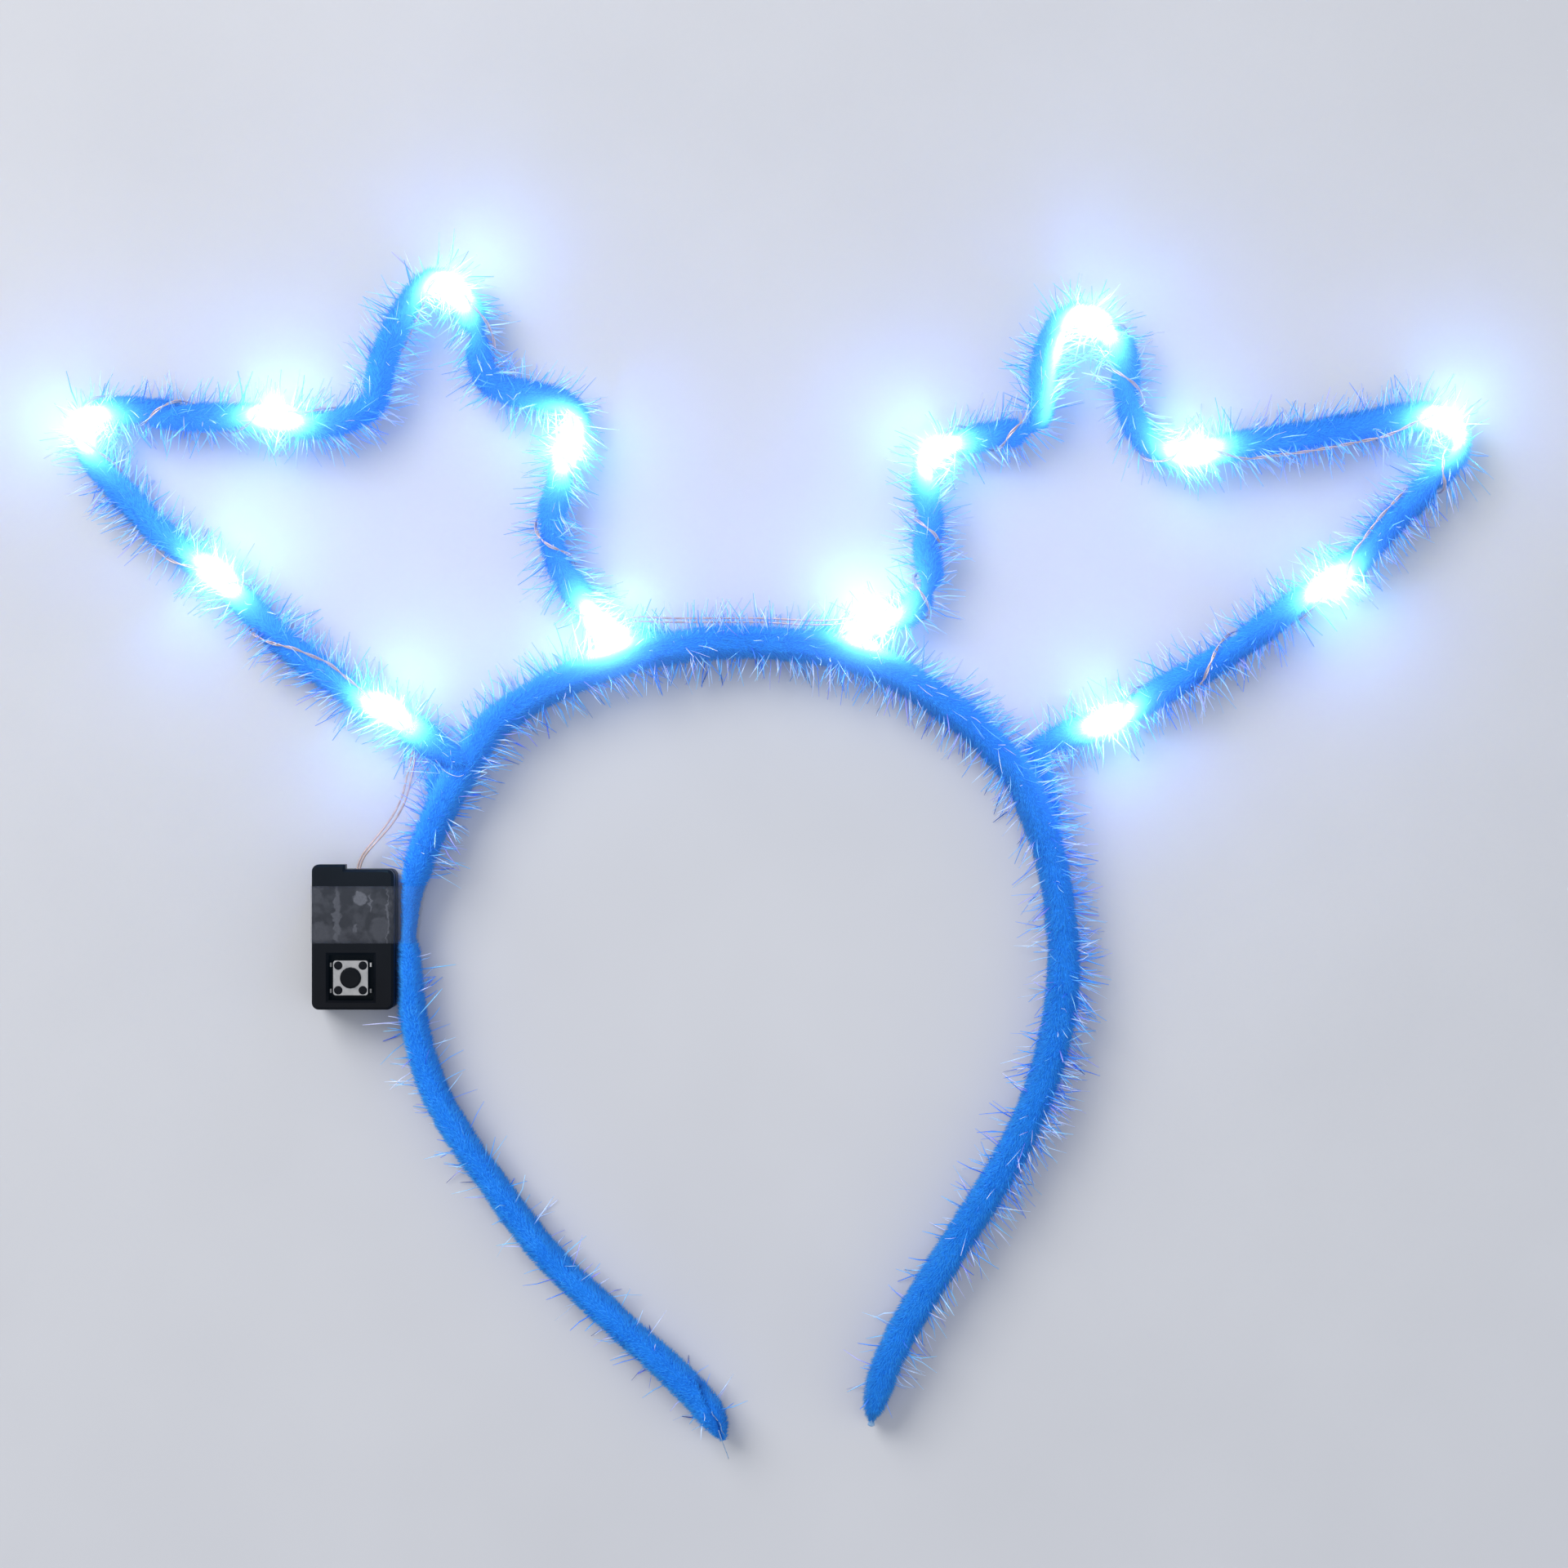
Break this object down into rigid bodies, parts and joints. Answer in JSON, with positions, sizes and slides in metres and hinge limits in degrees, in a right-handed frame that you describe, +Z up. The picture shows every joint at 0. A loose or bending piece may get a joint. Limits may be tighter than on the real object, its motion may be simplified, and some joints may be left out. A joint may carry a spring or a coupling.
{
  "type": "light-up reindeer antler headband",
  "caption": "Plush headband with antlers bent from plush-covered stem and wound with a string of small lights, and a small battery box with a push button taped to its side.",
  "frame": {"origin": "under the middle of the whole piece, on the surface that it lies on", "axes": "+X to the right as it lies seen from above, along the spread of the antlers; +Y from the tips of the band to its crown and the antlers; +Z up from the surface, out of the front of the band"},
  "size_m": [0.2446, 0.2054, 0.0108],
  "materials": {
    "plush": "short velvety pile in sky blue with sparse silvery hairs",
    "light": "clear drop that glows blue-white",
    "copper": "fine enamelled copper wire",
    "black_plastic": "black, satin moulded",
    "film": "clear adhesive film with small bubbles",
    "tin": "bright tinned sheet"
  },
  "bodies": {
    "band_and_antlers": {"headband": "plush", "antler_left": "plush", "antler_right": "plush", "led_left_1": "light", "led_left_2": "light", "led_left_3": "light", "led_left_4": "light", "led_left_5": "light", "led_left_6": "light", "led_left_7": "light", "led_right_1": "light", "led_right_2": "light", "led_right_3": "light", "led_right_4": "light", "led_right_5": "light", "led_right_6": "light", "led_right_7": "light", "wire_left_1": "copper", "wire_left_2": "copper", "wire_left_3": "copper", "wire_left_4": "copper", "wire_left_5": "copper", "wire_left_6": "copper", "wire_right_1": "copper", "wire_right_2": "copper", "wire_right_3": "copper", "wire_right_4": "copper", "wire_right_5": "copper", "wire_right_6": "copper", "lead_wire_a": "copper", "lead_wire_b": "copper", "crown_wire_a": "copper", "crown_wire_b": "copper", "battery_case": "black_plastic", "battery_cover": "black_plastic", "switch_body": "black_plastic", "switch_plate": "tin", "switch_leg_1": "tin", "switch_leg_2": "tin", "switch_leg_3": "tin", "switch_leg_4": "tin", "tape_strip": "film"},
    "button": {"switch_button": "black_plastic"}
  },
  "joints": [
    {"name": "button_press", "type": "slide", "parent": "band_and_antlers", "child": "button", "axis": [0, 0, -1], "range_m": [0, 0.00025], "stiffness_N_per_m": 400}
  ]
}
